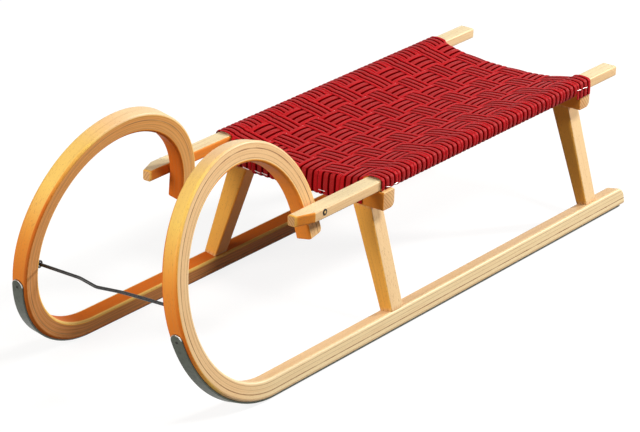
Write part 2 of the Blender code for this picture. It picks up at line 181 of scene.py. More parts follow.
class WoodColours(bpy.types.PropertyGroup):
    """Colours of the lacquered beech, from the palest to the deepest; the pale ones stand for lit faces and
    the deep ones for shaded faces, as painted light and shade
    """

    cream: colour("Cream", "Upper faces", (0.84, 0.69, 0.41))
    peach: colour("Peach", "Outer sides", (0.86, 0.56, 0.28))
    amber: colour("Amber", "Upper part of the horns' fronts", (0.95, 0.63, 0.14))
    orange: colour("Orange", "Fronts", (0.92, 0.38, 0.06))
    deep: colour("Deep", "Hollow and inner faces", (0.76, 0.17, 0.018))
    tan: colour("Tan", "Growth rings and fine grain", (0.55, 0.25, 0.08))
    glue: colour("Glue", "Glue lines between the laminations", (0.22, 0.075, 0.02))
    sawn: colour("Sawn", "End grain", (0.78, 0.47, 0.23))
    fleck: colour("Fleck", "Short ray flecks", (0.34, 0.14, 0.05))


class WebbingColours(bpy.types.PropertyGroup):
    """Colours of the seat's webbing"""

    margin: colour("Margin", "The straps' smooth margins", (0.50, 0.007, 0.011))
    middle: colour("Middle", "The ribs between the margins", (0.42, 0.011, 0.013))
    # The pink thread colour is a painted highlight on the ribs.
    thread_highlight: colour("Thread", "Raised threads of the ribs", (0.88, 0.26, 0.26))
    groove: colour("Groove", "The grooves between the ribs", (0.085, 0.0, 0.0))


class SteelColours(bpy.types.PropertyGroup):
    """Colours of the steel and brass"""

    shoe: colour("Shoe", "Rolled steel of the shoes", (0.085, 0.095, 0.075))
    # The rim is a painted highlight along the upper edges of the shoes' round top ends.
    rim: colour("Rim", "Worn edges of the shoes", (0.55, 0.56, 0.54))
    rod: colour("Rod", "Drawn steel of the rod", (0.05, 0.05, 0.05))
    fastener: colour("Fastener", "Screws and bolts", (0.035, 0.032, 0.028))
    staple: colour("Staple", "Bright staple wire", (0.86, 0.72, 0.70))
    brass: colour("Brass", "Middles of the rail bolts", (0.62, 0.40, 0.14))


class StageSettings(bpy.types.PropertyGroup):
    """The camera, the lamps and the floor"""

    azimuth: angle("Azimuth", "Round the sled from the front", 35.933)
    elevation: angle("Elevation", "Above the horizon", 22.608)
    roll: angle("Roll", "Turn of the camera about its own line of sight", 1.719)
    stand: FloatVectorProperty(
        name="Stand", description="Where the camera is", default=(2.55873, -3.54334, 1.9238),
        unit="LENGTH", size=3,
    )
    focal: power("Focal length", "In pixels of the picture", 3175.14)
    centre: FloatVectorProperty(
        name="Centre", description="Where the line of sight meets the picture, in pixels",
        default=(327.712, 219.259), size=2,
    )
    key: power("Key lamp", "Power of the lamp behind the sled, on its right", 318.0)
    top: power("Top lamp", "Power of the lamp above the sled's right side", 67.0)
    fill: power("Fill lamp", "Power of the lamp in front of the sled", 92.0)
    sky: power("Sky", "Strength of the light from all round", 0.10)
    sky_colour: colour("Sky colour", "Light from all round", (1.0, 0.90, 0.78))
    floor_colour: colour("Floor", "Floor and backdrop", (0.22, 0.20, 0.18))


RUNNER = "sled_runner"
SEAT = "sled_seat"
WOOD = "sled_wood"
WEBBING = "sled_webbing"
STEEL = "sled_steel"
STAGE = "sled_stage"
SHEETS = (
    (RUNNER, RunnerSizes),
    (SEAT, SeatSizes),
    (WOOD, WoodColours),
    (WEBBING, WebbingColours),
    (STEEL, SteelColours),
    (STAGE, StageSettings),
)


def sheet_of(name):
    """The scene's sheet of settings with this name."""
    return getattr(bpy.context.scene, name)


def part_way(value, start, end):
    """How far the value has come from start to end, from 0 to 1."""
    return min(1.0, max(0.0, (value - start) / (end - start)))


def between(stops, value):
    """Reads a line of (place, height) stops at this value."""
    for (one, low), (two, high) in zip(stops, stops[1:]):
        if value <= two:
            return low + (high - low) * max(0.0, (value - one) / (two - one))
    return stops[-1][1]


def rounded(u0, u1, v0, v1, radii, steps=5, guard=0.0004):
    """Points of a box with rounded corners, from low u and low v anticlockwise. A guard point beside each
    corner keeps the flats flat in the shading."""
    corners = ((u0, v0, 1, 1, 180), (u1, v0, -1, 1, 270), (u1, v1, -1, -1, 0), (u0, v1, 1, -1, 90))
    out = []
    for (u, v, su, sv, start), r in zip(corners, radii):
        cu, cv = u + su * r, v + sv * r
        turns = [math.radians(start) + QUARTER * k / steps for k in range(steps + 1)]
        bend = [(cu + r * math.cos(a), cv + r * math.sin(a)) for a in turns]
        (first_u, first_v), (last_u, last_v) = bend[0], bend[-1]
        lead_u, lead_v = guard * math.sin(turns[0]), -guard * math.cos(turns[0])
        tail_u, tail_v = -guard * math.sin(turns[-1]), guard * math.cos(turns[-1])
        out += [(first_u + lead_u, first_v + lead_v), *bend, (last_u + tail_u, last_v + tail_v)]
    return out


def quarter_round(radius, back):
    """How deep a rounded end cuts in, this far back from the end."""
    inside = min(1.0, max(0.0, 1 - back / radius))
    return radius * (1 - math.sqrt(1 - inside**2))


def end_to_end(low, high, radius, middle, steps=5):
    """Stops (place, inset) along a piece: the rings of its two rounded ends, with the middle's between."""
    backs = [radius * (1 - math.sin(QUARTER * k / steps)) for k in range(steps + 1)]
    stops = [(low + back, quarter_round(radius, back)) for back in reversed(backs)]
    stops += [(place, 0.0) for place in middle]
    return stops + [(high - back, quarter_round(radius, back)) for back in backs]


def link(name, data):
    """Puts an object with this data into the scene."""
    made = bpy.data.objects.new(name, data)
    bpy.context.scene.collection.objects.link(made)
    return made


def skin(name, rings):
    """Joins rings of (point, grain, tone and light) into one closed body. Grain is along, across and deep in
    metres. Tone and light is (lamination share, end grain, tone with painted light and shade) on wood, (rib,
    margin, 0) on webbing, where a low rib is partly painted shade, and (painted rim highlight, 0, 0) on
    steel."""
    bm = bmesh.new()
    grain = bm.verts.layers.float_vector.new("grain")
    finish = bm.verts.layers.float_vector.new("finish")
    grid = []
    for ring in rings:
        row = []
        for point, run, look in ring:
            spot = bm.verts.new(point)
            spot[grain] = run
            spot[finish] = look
            row.append(spot)
        grid.append(row)
    for one, two in zip(grid, grid[1:]):
        for k in range(len(one)):
            bm.faces.new((one[k - 1], one[k], two[k], two[k - 1]))
    bm.faces.new(grid[0])
    bm.faces.new(list(reversed(grid[-1])))
    bmesh.ops.recalc_face_normals(bm, faces=bm.faces)
    mesh = bpy.data.meshes.new(name)
    bm.to_mesh(mesh)
    bm.free()
    mesh.shade_smooth()
    mesh.set_sharp_from_angle(angle=math.radians(50))
    return link(name, mesh)


def settle(piece, material, slot, *nodes):
    """Gives a piece its material, hides the nodes it stands for, and lets it ride on the sled. The slot is
    not used.
    """
    piece.data.materials.clear()
    piece.data.materials.append(material)
    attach(piece, "root")
    if nodes:
        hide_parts(*nodes)


def node(tree, kind, inputs=None, **settings):
    """Adds a shader node, with values or links for its inputs."""
    made = tree.nodes.new("ShaderNode" + kind)
    for key, value in settings.items():
        setattr(made, key, value)
    for key, value in (inputs or {}).items():
        if isinstance(value, bpy.types.NodeSocket):
            tree.links.new(value, made.inputs[key])
        else:
            made.inputs[key].default_value = value
    return made


def maths(tree, operation, one, two=0.0):
    return node(tree, "Math", {0: one, 1: two}, operation=operation).outputs[0]


def times(tree, one, two):
    return maths(tree, "MULTIPLY", one, two)


def plus(tree, one, two):
    return maths(tree, "ADD", one, two)


def vector_maths(tree, operation, one, two):
    return node(tree, "VectorMath", {0: one, 1: two}, operation=operation).outputs[0]


def vector_of(tree, parts):
    return node(tree, "CombineXYZ", parts).outputs[0]


def parts_of(tree, vector):
    return node(tree, "SeparateXYZ", {0: vector}).outputs


def attribute(tree, name):
    return node(tree, "Attribute", attribute_name=name).outputs["Vector"]


def noise(tree, place, scale, detail=2.0):
    """A noise with scale waves in a metre, or with its own scale along each axis."""
    if isinstance(scale, tuple):
        place, scale = vector_maths(tree, "MULTIPLY", place, scale), 1.0
    return node(tree, "TexNoise", {"Vector": place, "Scale": scale, "Detail": detail}).outputs["Fac"]


def ramp(tree, value, low, high, smooth=True):
    """0 at low and beyond it, 1 at high."""
    kind = "SMOOTHSTEP" if smooth else "LINEAR"
    inputs = {"Value": value, "From Min": low, "From Max": high}
    return node(tree, "MapRange", inputs, interpolation_type=kind).outputs["Result"]


def blend(tree, factor, one, two):
    """Mixes two colours, each a link or plain."""
    made = tree.nodes.new("ShaderNodeMix")
    made.data_type = "RGBA"
    for key, value in ((0, factor), (6, one), (7, two)):
        if isinstance(value, bpy.types.NodeSocket):
            tree.links.new(value, made.inputs[key])
        else:
            made.inputs[key].default_value = (*value, 1.0)
    return made.outputs[2]


def stain(tree, tone, shade, amount, value, low, high):
    """The tone with an amount of a shade: none where the value is low and the whole where it is high."""
    return blend(tree, times(tree, ramp(tree, value, low, high), amount), tone, shade)


def new_material(name):
    made = bpy.data.materials.new(name)
    made.use_nodes = True
    tree = made.node_tree
    return made, tree, tree.nodes["Principled BSDF"]


def finish_off(tree, shader, tone, bump, height, rough=None, gloss=None):
    """Links a tone, a bump of this strength and height, and a varying roughness and gloss to the shader."""
    relief = node(tree, "Bump", {"Strength": bump, "Distance": 1.0, "Height": height}).outputs[0]
    sockets = {"Base Color": tone, "Normal": relief, "Roughness": rough, "Specular IOR Level": gloss}
    for key, value in sockets.items():
        if value is not None:
            tree.links.new(value, shader.inputs[key])


# The wood's figure: waves in a metre along, across and through the wood, and their detail
FIGURE = {
    "broad": ((4.0, 40.0, 40.0), 2.0),
    "waver": ((9.0, 30.0, 30.0), 1.0),
    "lines": ((5.0, 420.0, 420.0), 3.0),
    "fibres": ((60.0, 2600.0, 2600.0), 2.0),
    "flecks": ((260.0, 1500.0, 1500.0), 0.0),
    "patches": ((25.0, 5.0, 0.0), 2.0),
}
WAVER_REACH = 0.006
FIBRE_HEIGHT = 0.00003

# The growth rings' middle lies outside the piece, this far across and deep
PITH = (0.031, 0.024)
RING_SPACE = 0.0042

# The plies' count and how far their grain is shifted, and the glue lines' (depth share, width, strength)
PLIES = 5.0
PLY_SHIFT = 3.7
GLUE_LINES = ((0.14, 0.020, 0.35), (0.36, 0.034, 0.95), (0.60, 0.022, 0.40), (0.80, 0.026, 0.55))
GLUE_DEPTH = 0.00008


def figure(tree, grain, kind):
    return noise(tree, grain, *FIGURE[kind])


def glue_seam(tree, layer, grain):
    """How strongly a glue line shows, patchy along the runner and 0 between the lines."""
    seam = 0.0
    for place, wide, strength in GLUE_LINES:
        off = maths(tree, "ABSOLUTE", maths(tree, "SUBTRACT", layer, place))
        seam = maths(tree, "MAXIMUM", seam, times(tree, ramp(tree, off, wide, wide * 0.4), strength))
    patches = ramp(tree, figure(tree, grain, "patches"), 0.30, 0.62)
    return times(tree, seam, plus(tree, times(tree, patches, 0.55), 0.45))


def end_grain(tree, look, grain):
    """Sawn wood with the growth rings across it."""
    offs = [plus(tree, part, place) for part, place in zip(parts_of(tree, grain)[1:], PITH)]
    reach = maths(tree, "SQRT", plus(tree, *[times(tree, off, off) for off in offs]))
    ring = maths(tree, "SINE", times(tree, reach, 2 * math.pi / RING_SPACE))
    return stain(tree, look.sawn, look.fleck, 0.55, ring, 0.2, 0.95)


def beech(name, laminated):
    """Lacquered beech. Its grain runs along the piece; a bent runner also shows its laminations."""
    look = sheet_of(WOOD)
    made, tree, shader = new_material(name)
    grain = attribute(tree, "grain")
    # The third part, read here as depth, is the tone: lacquer tone with painted light and shade.
    layer, end, depth = parts_of(tree, attribute(tree, "finish"))
    if laminated:
        ply = maths(tree, "FLOOR", times(tree, layer, PLIES))
        grain = vector_maths(tree, "ADD", grain, vector_of(tree, {0: times(tree, ply, PLY_SHIFT)}))
    bent = times(tree, figure(tree, grain, "waver"), WAVER_REACH)
    wavering = vector_maths(tree, "ADD", grain, vector_of(tree, {1: bent, 2: bent}))
    broad = figure(tree, grain, "broad")
    height = times(tree, figure(tree, grain, "fibres"), FIBRE_HEIGHT)

    # The tone ladder from cream to deep carries the painted light and shade.
    tone = look.cream
    for stop, shade in enumerate((look.peach, look.amber, look.orange, look.deep)):
        tone = blend(tree, ramp(tree, depth, stop / 4, (stop + 1) / 4, False), tone, shade)
    tone = stain(tree, tone, look.tan, 0.16, broad, 0.40, 0.80)
    tone = stain(tree, tone, look.tan, 0.30, figure(tree, wavering, "lines"), 0.52, 0.72)
    tone = stain(tree, tone, look.fleck, 0.40, figure(tree, grain, "flecks"), 0.70, 0.76)
    if laminated:
        lot = node(tree, "TexWhiteNoise", {"W": ply}, noise_dimensions="1D").outputs["Value"]
        tone = blend(tree, times(tree, lot, 0.08), tone, look.tan)
        seam = glue_seam(tree, layer, grain)
        tone = blend(tree, seam, tone, look.glue)
        height = maths(tree, "SUBTRACT", height, times(tree, seam, GLUE_DEPTH))
    tone = blend(tree, times(tree, end, 0.85), tone, end_grain(tree, look, wavering))

    rough = plus(tree, times(tree, broad, 0.16), 0.34)
    gloss = times(tree, maths(tree, "SUBTRACT", 1.04, depth), 0.26)
    finish_off(tree, shader, tone, 0.6, height, rough, gloss)
    return made


THREAD_SPACE = 0.0011
THREAD_HEIGHT, FUZZ_HEIGHT = 0.00006, 0.00005
FUZZ_SCALE, DYE_SCALE = 900.0, 22.0


def webbing():
    """Red webbing: four woven ribs with dark grooves between, the outer two smoother and brighter."""
    look = sheet_of(WEBBING)
    made, tree, shader = new_material("red_webbing")
    grain = attribute(tree, "grain")
    rib, margin, _ = parts_of(tree, attribute(tree, "finish"))
    along, across, _ = parts_of(tree, grain)
    slants = [times(tree, maths(tree, way, along, across), 2 * math.pi / THREAD_SPACE)
              for way in ("ADD", "SUBTRACT")]
    weave = times(tree, *[maths(tree, "SINE", slant) for slant in slants])
    fuzz = noise(tree, grain, FUZZ_SCALE)
    dye = noise(tree, grain, DYE_SCALE)

    tone = blend(tree, margin, look.middle, look.margin)
    # Painted highlight: pink specks on the ribs' raised threads, fewer on the margins.
    woven = maths(tree, "SUBTRACT", 1.0, times(tree, margin, 0.75))
    highlight_speck = times(tree, ramp(tree, weave, 0.55, 0.95), woven)
    tone = blend(tree, times(tree, highlight_speck, 0.20), tone, look.thread_highlight)
    tone = stain(tree, tone, look.groove, 0.20, fuzz, 0.45, 0.7)
    tone = stain(tree, tone, look.groove, 0.12, dye, 0.4, 0.7)
    # The grooves and the ribs' feet take the dark groove colour: partly the weave's dark lines, partly
    # painted shade.
    tone = blend(tree, ramp(tree, rib, 0.66, 0.30), tone, look.groove)

    shader.inputs["Roughness"].default_value = 0.42
    gloss = times(tree, ramp(tree, rib, 0.60, 1.0), 0.07)
    height = plus(tree, times(tree, weave, THREAD_HEIGHT), times(tree, fuzz, FUZZ_HEIGHT))
    finish_off(tree, shader, tone, 0.8, height, gloss=gloss)
    return made


SCALE_WAVES, SCALE_HEIGHT = 160.0, 0.00004
STREAKS = (600.0, 40.0, 600.0)


def steel(name, base, roughness, rim_highlight=None):
    """Rolled or drawn steel with scale and fine streaks, and a painted highlight on the edges that its mesh
    marks.
    """
    made, tree, shader = new_material(name)
    place = node(tree, "TexCoord").outputs["Object"]
    scale = noise(tree, place, SCALE_WAVES, 4.0)
    tone = stain(tree, base, [c * 0.45 for c in base], 0.45, scale, 0.4, 0.7)
    if rim_highlight is not None:
        tone = blend(tree, parts_of(tree, attribute(tree, "finish"))[0], tone, rim_highlight)
    shader.inputs["Metallic"].default_value = 0.85
    rough = plus(tree, times(tree, noise(tree, place, STREAKS), 0.2), roughness - 0.1)
    finish_off(tree, shader, tone, 0.3, times(tree, scale, SCALE_HEIGHT), rough)
    return made


# How finely a runner is drawn: the turn of each part of a bend, and the rings of its rounded ends
BEND_STEP = math.radians(2.0)
REAR_RINGS, TIP_RINGS = 14, 12

# How far the grain of each runner, and of each straight piece, is shifted from its neighbour's
RUNNER_SHIFT, BEAM_SHIFT = 1.3, 2.1


def sole():
    """Height of a runner's outer lower edge with the shoes on the ground."""
    size = sheet_of(RUNNER)
    flat = (GAP + size.shoe_height) * math.cos(size.lean)
    return flat + (size.width + size.shoe_width) / 2 * math.sin(size.lean)


def in_lean(side, y, h, n):
    """A point in a runner's leaning plane: h up the outer face, n outward from that face."""
    size = sheet_of(RUNNER)
    x = size.track - h * math.sin(size.lean) + n * math.cos(size.lean)
    z = sole() + h * math.cos(size.lean) + n * math.sin(size.lean)
    return Vector((side * x, y, z))


def off_line(side, station, a, n):
    """A point off a runner's middle line: a toward the ground or the horn's front, n off the outer face."""
    y, h, heading = station[:3]
    return in_lean(side, y - a * math.sin(heading), h - a * math.cos(heading), n)


def bends():
    size = sheet_of(RUNNER)
    return (
        (size.low_radius, size.low_angle),
        (size.front_radius, size.front_angle),
        (size.top_radius, size.top_angle),
    )


def horn_length():
    return sum(radius * turn for radius, turn in bends()) + sheet_of(RUNNER).tip_length


def runner_rear():
    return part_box("runner_right")[1].y


def runner_line(straight_step, rear_rings=0):
    """Stations (y, h, heading, run) of a runner's middle line from its rear end to the horn's tip. Run is
    the length since the bend began, below 0 along the ground."""
    size = sheet_of(RUNNER)
    h = size.height / 2
    places = [runner_rear()]
    if rear_rings:
        turns = [QUARTER * k / rear_rings for k in range(rear_rings + 1)]
        places = [runner_rear() - size.rear_round * (1 - math.cos(a)) for a in turns]
    left = places[-1] - size.bend_start
    count = max(1, round(left / straight_step))
    places += [places[-1] - left * k / count for k in range(1, count + 1)]
    stations = [(y, h, 0.0, size.bend_start - y) for y in places]
    y, heading, run = size.bend_start, 0.0, 0.0
    for radius, turn in bends():
        count = max(2, round(turn / BEND_STEP))
        part = turn / count
        chord = 2 * radius * math.sin(part / 2)
        for _ in range(count):
            y -= chord * math.cos(heading + part / 2)
            h += chord * math.sin(heading + part / 2)
            heading += part
            run += radius * part
            stations.append((y, h, heading, run))
    for k in range(1, TIP_RINGS + 1):
        reach = size.tip_length - size.tip_round * (1 - math.sin(QUARTER * k / TIP_RINGS))
        spot = (y - reach * math.cos(heading), h + reach * math.sin(heading))
        stations.append((*spot, heading, run + reach))
    return stations


def station_at(line, h):
    """The station at this height on the runner's rising front."""
    for one, two in zip(line, line[1:]):
        if one[1] < h <= two[1]:
            part = (h - one[1]) / (two[1] - one[1])
            return tuple(a + (b - a) * part for a, b in zip(one, two))
    return line[-1]


def runner_depth(run):
    """Depth of the laminations: even along the ground, then growing evenly to the horn's tip."""
    size = sheet_of(RUNNER)
    return size.height + (size.tip_height - size.height) * max(0.0, run) / horn_length()


# The long edges' tones, painted light and shade: a painted dark line along the front's inner edge, painted
# highlights along the hollow's edges and along the outer front edge low down; and the degrees turned between
# which they fade out or set in
EDGE_FADE = (160, 115)
SHADED_EDGE_LINE, HIGHLIT_EDGE, BRIGHTEST_HIGHLIT_EDGE = 0.40, 0.45, 0.04
OUTER_EDGE_HIGHLIGHT, OUTER_EDGE_OFF, OUTER_EDGE_RISE = 0.15, 0.10, (30, 70)


def runner_shade_tone(side, heading, n, a, half, corner):
    """The tone on a runner's section, n from its outer face and a from its middle: lacquer tone with painted
    light and shade by which way each face looks. The long edges carry a painted dark line in front and
    painted highlights round the hollow."""
    width = sheet_of(RUNNER).width
    turned_by = math.degrees(heading)
    outer = n > -width / 2
    if abs(a) < half - corner:
        return between(SIDE_SHADE_TONES["outer" if outer else "inner"], turned_by)
    tone = between(FRONT_SHADE_TONES if a > 0 else HOLLOW_SHADE_TONES[side], turned_by)
    if corner - width <= n <= -corner:
        return tone
    upright = part_way(turned_by, *EDGE_FADE)
    if a <= 0:
        edge = BRIGHTEST_HIGHLIT_EDGE if side > 0 and outer else HIGHLIT_EDGE
        return tone + (edge - tone) * upright
    if outer:
        return OUTER_EDGE_HIGHLIGHT + (tone - OUTER_EDGE_OFF) * part_way(turned_by, *OUTER_EDGE_RISE)
    return min(1.0, tone + SHADED_EDGE_LINE * upright)


def laminated_runner(side, name):
    """A bent runner: rounded long edges, and small rounds on its sawn ends."""
    size = sheet_of(RUNNER)
    stations = runner_line(0.02, REAR_RINGS)
    front = min(station[0] for station in stations)
    tip = stations[-1][0]
    rings = []
    for station in stations:
        y, _, heading, run = station
        half = runner_depth(run) / 2
        back_tip = horn_length() - run
        back_rear = runner_rear() - y if run <= 0 else back_tip
        back = min(back_rear, back_tip)
        inset = quarter_round(size.end_edge, back)
        upper = -half + inset
        if run <= 0:
            upper += quarter_round(size.rear_round, back_rear)
        lower = half - max(quarter_round(size.tip_round, back_tip), inset)
        corner = max(RUNNER_LEAST_EDGE, size.edge - inset)
        shift = 0.0
        if heading > QUARTER:
            shift = size.toe_in * max(0.0, (y - front) / (tip - front))
        ring = []
        for n, a in rounded(-size.width + inset, -inset, upper, lower, [corner] * 4):
            # Inner sides take some of the end-grain colour too, a tan laid over their painted shade.
            inner = n < corner - size.width and abs(a) < half - corner
            sawn = 1.0 if back < 1e-6 else 0.5 if inner else 0.0
            tone = runner_shade_tone(side, heading, n, a, half, corner * RUNNER_EDGE_SHARE)
            look = ((half - a) / (2 * half), sawn, tone)
            ring.append((off_line(side, station, a, n - shift), (run + side * RUNNER_SHIFT, n, a), look))
        rings.append(ring)
    return skin(name, rings)


def shoe_strip(side, name):
    """The steel strip under a runner and up the front of its horn, its top end round."""
    size = sheet_of(RUNNER)
    half = size.shoe_width / 2
    first = (runner_rear() - size.shoe_setback, size.height / 2, 0.0, 0.0)
    line = runner_line(0.05)
    top = station_at(line, size.shoe_top)
    stations = [first] + [s for s in line if s[0] < first[0] - 0.001 and s[3] < top[3] - 0.001] + [top]
    reaches = [half] * len(stations)
    y, h, heading, run = top
    for degrees in (9, 18, 27, 36, 45, 54, 63, 72, 80, 86):
        a = math.radians(degrees)
        ahead = half * math.sin(a)
        spot = (y - ahead * math.cos(heading), h + ahead * math.sin(heading))
        stations.append((*spot, heading, run + ahead))
        reaches.append(half * math.cos(a))
    rings = []
    for station, reach in zip(stations, reaches):
        run = station[3]
        near = runner_depth(run) / 2 + GAP
        far = near + size.shoe_height
        soft = min(size.shoe_edge, reach * 0.4)
        radii = (soft * 0.3, soft * 0.3, soft, soft)
        ring = []
        for n, a in rounded(-reach, reach, near, far, radii, 3, soft * 0.2):
            # Painted highlight: the round top end's upper outer edges take the bright rim colour.
            edge = a > near + size.shoe_height * 0.5 and abs(n) > reach - soft * 1.2
            rim_highlight = 1.0 if edge and reach < half * 0.999 else 0.0
            ring.append((off_line(side, station, a, n - size.width / 2), (run, n, a), (rim_highlight, 0.0, 0.0)))
        rings.append(ring)
    return skin(name, rings)


def rail_sizes():
    """The right rail's inner and outer faces, front and rear ends, bottom and top."""
    low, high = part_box("rail_right")
    return low.x, high.x, low.y, high.y, low.z, high.z


def bar_sizes(which):
    """Half a crossbar's length, its front and rear faces, bottom and top."""
    low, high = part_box("crossbar_" + which)
    return high.x, low.y, high.y, low.z, high.z


def beam(name, sections, lot):
    """A straight piece of solid beech lofted through sections of (points, along), its sawn ends showing."""
    rings = []
    for k, (points, run) in enumerate(sections):
        end = 1.0 if k in (0, len(sections) - 1) else 0.0
        rings.append([(point, (run + lot * BEAM_SHIFT, across, depth), (0.0, end, tone))
                      for point, across, depth, tone in points])
    return skin(name, rings)


NOSE_WIDTH, NOSE_LENGTH, NOSE_BEND = 0.014, 0.0313, 0.0006


def rail_shade_tone(x, y, z, side_x, cut):
    """A rail's tone, painted light and shade: pale on top where it is lit, deeper on its front end, its
    nose's cut, its underside and between the horns, where shade falls.
    """
    inner, _, front, _, bottom, top = rail_sizes()
    if y < front + 2 * RAIL_END_EDGE:
        return RAIL_SHADE_TONES["end"]
    if x > side_x - RAIL_EDGE * EDGE_SHARE:
        return RAIL_SHADE_TONES["cut" if cut else "outer"]
    if x < inner + RAIL_EDGE * EDGE_SHARE:
        return RAIL_SHADE_TONES["between horns" if y < 0 else "inner"]
    return RAIL_SHADE_TONES["top" if z > (bottom + top) / 2 else "under"]


def seat_rail(side, name):
    """A seat rail with a nose cut back on its outer side."""
    inner, outer, front, rear, bottom, top = rail_sizes()
    nose_end = front + NOSE_LENGTH
    middle = [front + NOSE_LENGTH * k / 6 for k in range(1, 6)]
    middle += [nose_end - NOSE_BEND, nose_end + NOSE_BEND]
    left = rear - RAIL_END_EDGE - middle[-1]
    middle += [middle[-1] + left * k / 24 for k in range(1, 24)]
    sections = []
    for y, inset in end_to_end(front, rear, RAIL_END_EDGE, middle):
        reach = part_way(y, front, nose_end)
        side_x = inner + NOSE_WIDTH + (outer - inner - NOSE_WIDTH) * reach
        corner = max(LEAST_EDGE, RAIL_EDGE - inset)
        points = []
        for x, z in rounded(inner + inset, side_x - inset, bottom + inset, top - inset, [corner] * 4):
            tone = rail_shade_tone(x, y, z, side_x, reach < 1.0)
            points.append((Vector((side * x, y, z)), x - inner, z - bottom, tone))
        sections.append((points, y))
    return beam(name, sections, side)


# The crossbars' rounder edge ends this far from the rails and runs out over this length. The lots say how
# far a bar's grain is shifted.
BAR_CLEAR, BAR_RUNOUT = 0.002, 0.003
BAR_LOTS = {"front": 0.4, "rear": 0.9}


def crossbar(which, name):
    """A bar across the legs. Between the rails its outer upper edge is rounder, for the straps."""
    half, face, back, bottom, top = bar_sizes(which)
    near = rail_sizes()[0] - BAR_CLEAR
    middle = [-near - BAR_RUNOUT, *(near * k / 6 for k in range(-6, 7)), near + BAR_RUNOUT]
    sections = []
    for x, inset in end_to_end(-half, half, BAR_END_EDGE, middle):
        strapped = STRAP_EDGE[which] if abs(x) <= near + 1e-6 else BAR_EDGE
        upper = (BAR_EDGE, strapped) if which == "front" else (strapped, BAR_EDGE)
        radii = [max(LEAST_EDGE, r - inset) for r in (BAR_EDGE, BAR_HEEL, *upper)]
        points = []
        for y, z in rounded(face + inset, back - inset, bottom + inset, top - inset, radii):
            # Painted shade: the front face and the underside take a deeper tone.
            deep = y < face + BAR_EDGE * EDGE_SHARE or z < bottom + BAR_EDGE
            tone = BAR_SHADE_TONES["front and under" if deep else "rest"]
            points.append((Vector((x, y, z)), y - face, z - bottom, tone))
        sections.append((points, x))
    return beam(name, sections, BAR_LOTS[which])


# Each post's foot: how far in from the runner's outer face it stands, and its width
POST_FEET = {"front": (0.001, 0.0216), "rear": (0.0055, 0.0192)}
POST_LOTS = {"front": 0.8, "rear": 1.7}
POST_RINGS = 26


def leg_post(side, which, name, node_name):
    """A post that tapers down from under a crossbar to the runner's upper face."""
    low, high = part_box(node_name)
    spots = [v.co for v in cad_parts[node_name].data.vertices]
    heads = [abs(p.x) for p in spots if p.z > high.z - 0.002]
    head_in, head_out = min(heads), max(heads)
    inset, foot_width = POST_FEET[which]
    out_n, in_n = -inset, -inset - foot_width
    foot_h = sheet_of(RUNNER).height + GAP
    sections = []
    for k in range(POST_RINGS + 1):
        up = k / POST_RINGS
        points = []
        for n, y in rounded(in_n, out_n, low.y, high.y, [POST_EDGE] * 4):
            head_x = head_in + (head_out - head_in) * (n - in_n) / (out_n - in_n)
            point = in_lean(side, y, foot_h, n).lerp(Vector((side * head_x, y, high.z)), up)
            # Painted shade: the front face and the inner side take deeper tones.
            tone = POST_SHADE_TONES["front" if y < low.y + POST_EDGE * EDGE_SHARE else "rest"]
            if n < in_n + POST_EDGE * EDGE_SHARE:
                tone = POST_SHADE_TONES["inner"]
            points.append((point, n, y - low.y, tone))
        sections.append((points, up * (high.z - low.z)))
    return beam(name, sections, POST_LOTS[which] + side * 0.3)


# How finely the straps are drawn: steps across the seat, steps in each field of the weave along it, and the
# length of the parts where a strap bends round the wood
ROW_STEPS, FIELD_STEPS = 132, 14
STRAP_STEP = 0.0016

# The weave begins and ends over the crossbars, at these shares of their depth
WEAVE_BEGINS, WEAVE_ENDS = 0.06, 0.92

# How far down the long straps round over a crossbar's edge, how far they lift there, and how far the cross
# straps lift over a rail's outer edge
OVER_EDGE, STRAP_LIFT, RAIL_LIFT = 0.0072, 0.0004, 0.0006

# Where a strap stands from 0, groove, to 1, rib: at a rib's foot, up its flank and on the underside. Low
# values take the dark groove colour, partly the weave's dark lines and partly painted shade in the grooves.
RIB_FOOT, RIB_FLANK, RIB_UNDER = 0.25, 0.45, 0.6


def seat_plan():
    """The weave's pitches and edges, from the rails, the crossbars and the seat's sizes."""
    size = sheet_of(SEAT)
    inner, outer, _, _, bottom, top = rail_sizes()
    _, front_face, front_back, bar_bottom, bar_top = bar_sizes("front")
    rear_end, rear_face, rear_back, _, _ = bar_sizes("rear")
    depth = front_back - front_face
    first, last = front_face + WEAVE_BEGINS * depth, rear_face + WEAVE_ENDS * depth
    low = bar_top + size.base
    return {
        "inner": inner, "outer": outer, "rail_bottom": bottom, "rail_top": top,
        "front_face": front_face, "rear_back": rear_back, "rear_end": rear_end,
        "bar_bottom": bar_bottom, "bar_top": bar_top,
        "first": first, "last": last, "low": low, "rise": top - size.drop - low,
        "column_pitch": 2 * (inner - size.side) / size.columns, "row_pitch": (last - first) / size.rows,
        "droop_from": rear_back - STRAP_EDGE["rear"], "droop_to": last - size.row_space / 2,
    }


def droop(plan, y):
    """How far the straps have sunk over the rear bar's rounded edge."""
    radius = STRAP_EDGE["rear"] + sheet_of(SEAT).base
    behind = min(max(0.0, y - plan["droop_from"]), plan["droop_to"] - plan["droop_from"])
    return radius - math.sqrt(radius**2 - behind**2)


def seat_z(plan, x, y):
    """The seat's middle surface: low in the middle, up to the rails at the sides, a little higher at mid
    length."""
    size = sheet_of(SEAT)
    crown = math.sin(math.pi * part_way(y, plan["first"], plan["last"]))
    curve = size.end_curve + (size.middle_curve - size.end_curve) * crown
    dish = min(1.0, abs(x) / (plan["inner"] - size.slack)) ** curve
    return plan["low"] + size.crown * crown + plan["rise"] * dish - droop(plan, y)


def column_is_over(i, j):
    return (i - j) % 2 == 1


